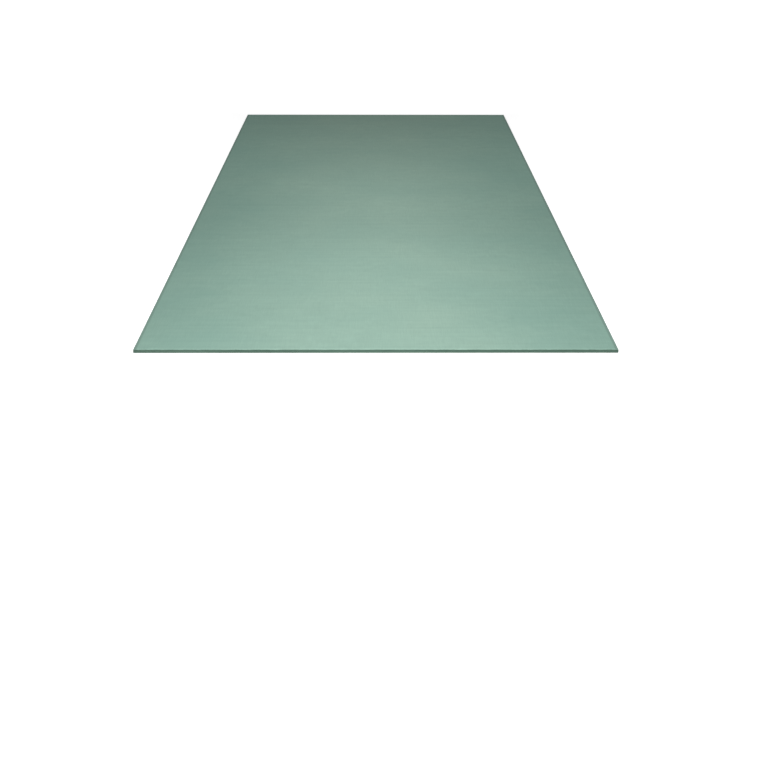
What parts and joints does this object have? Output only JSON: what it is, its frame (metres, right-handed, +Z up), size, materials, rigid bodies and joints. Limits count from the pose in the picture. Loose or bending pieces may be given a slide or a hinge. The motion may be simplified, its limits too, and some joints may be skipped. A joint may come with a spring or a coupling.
{
  "type": "moisture-resistant plywood sheet",
  "caption": "Flat rectangular plywood sheet with green moisture-resistant faces and green sealed edges, for lining, flooring or formwork in damp places.",
  "frame": {"origin": "middle of the underside, the face that the sheet rests on", "axes": "+Z up through the thickness, +Y along the length, +X across the width; the sheet is alike each way round"},
  "size_m": [1.22, 3.05, 0.009],
  "materials": {
    "green_sealed_plywood": "satin sage-green moisture-resistant facing, with the same green sealer on the edges"
  },
  "bodies": {
    "root": {"plywood_sheet": "green_sealed_plywood"}
  },
  "joints": []
}
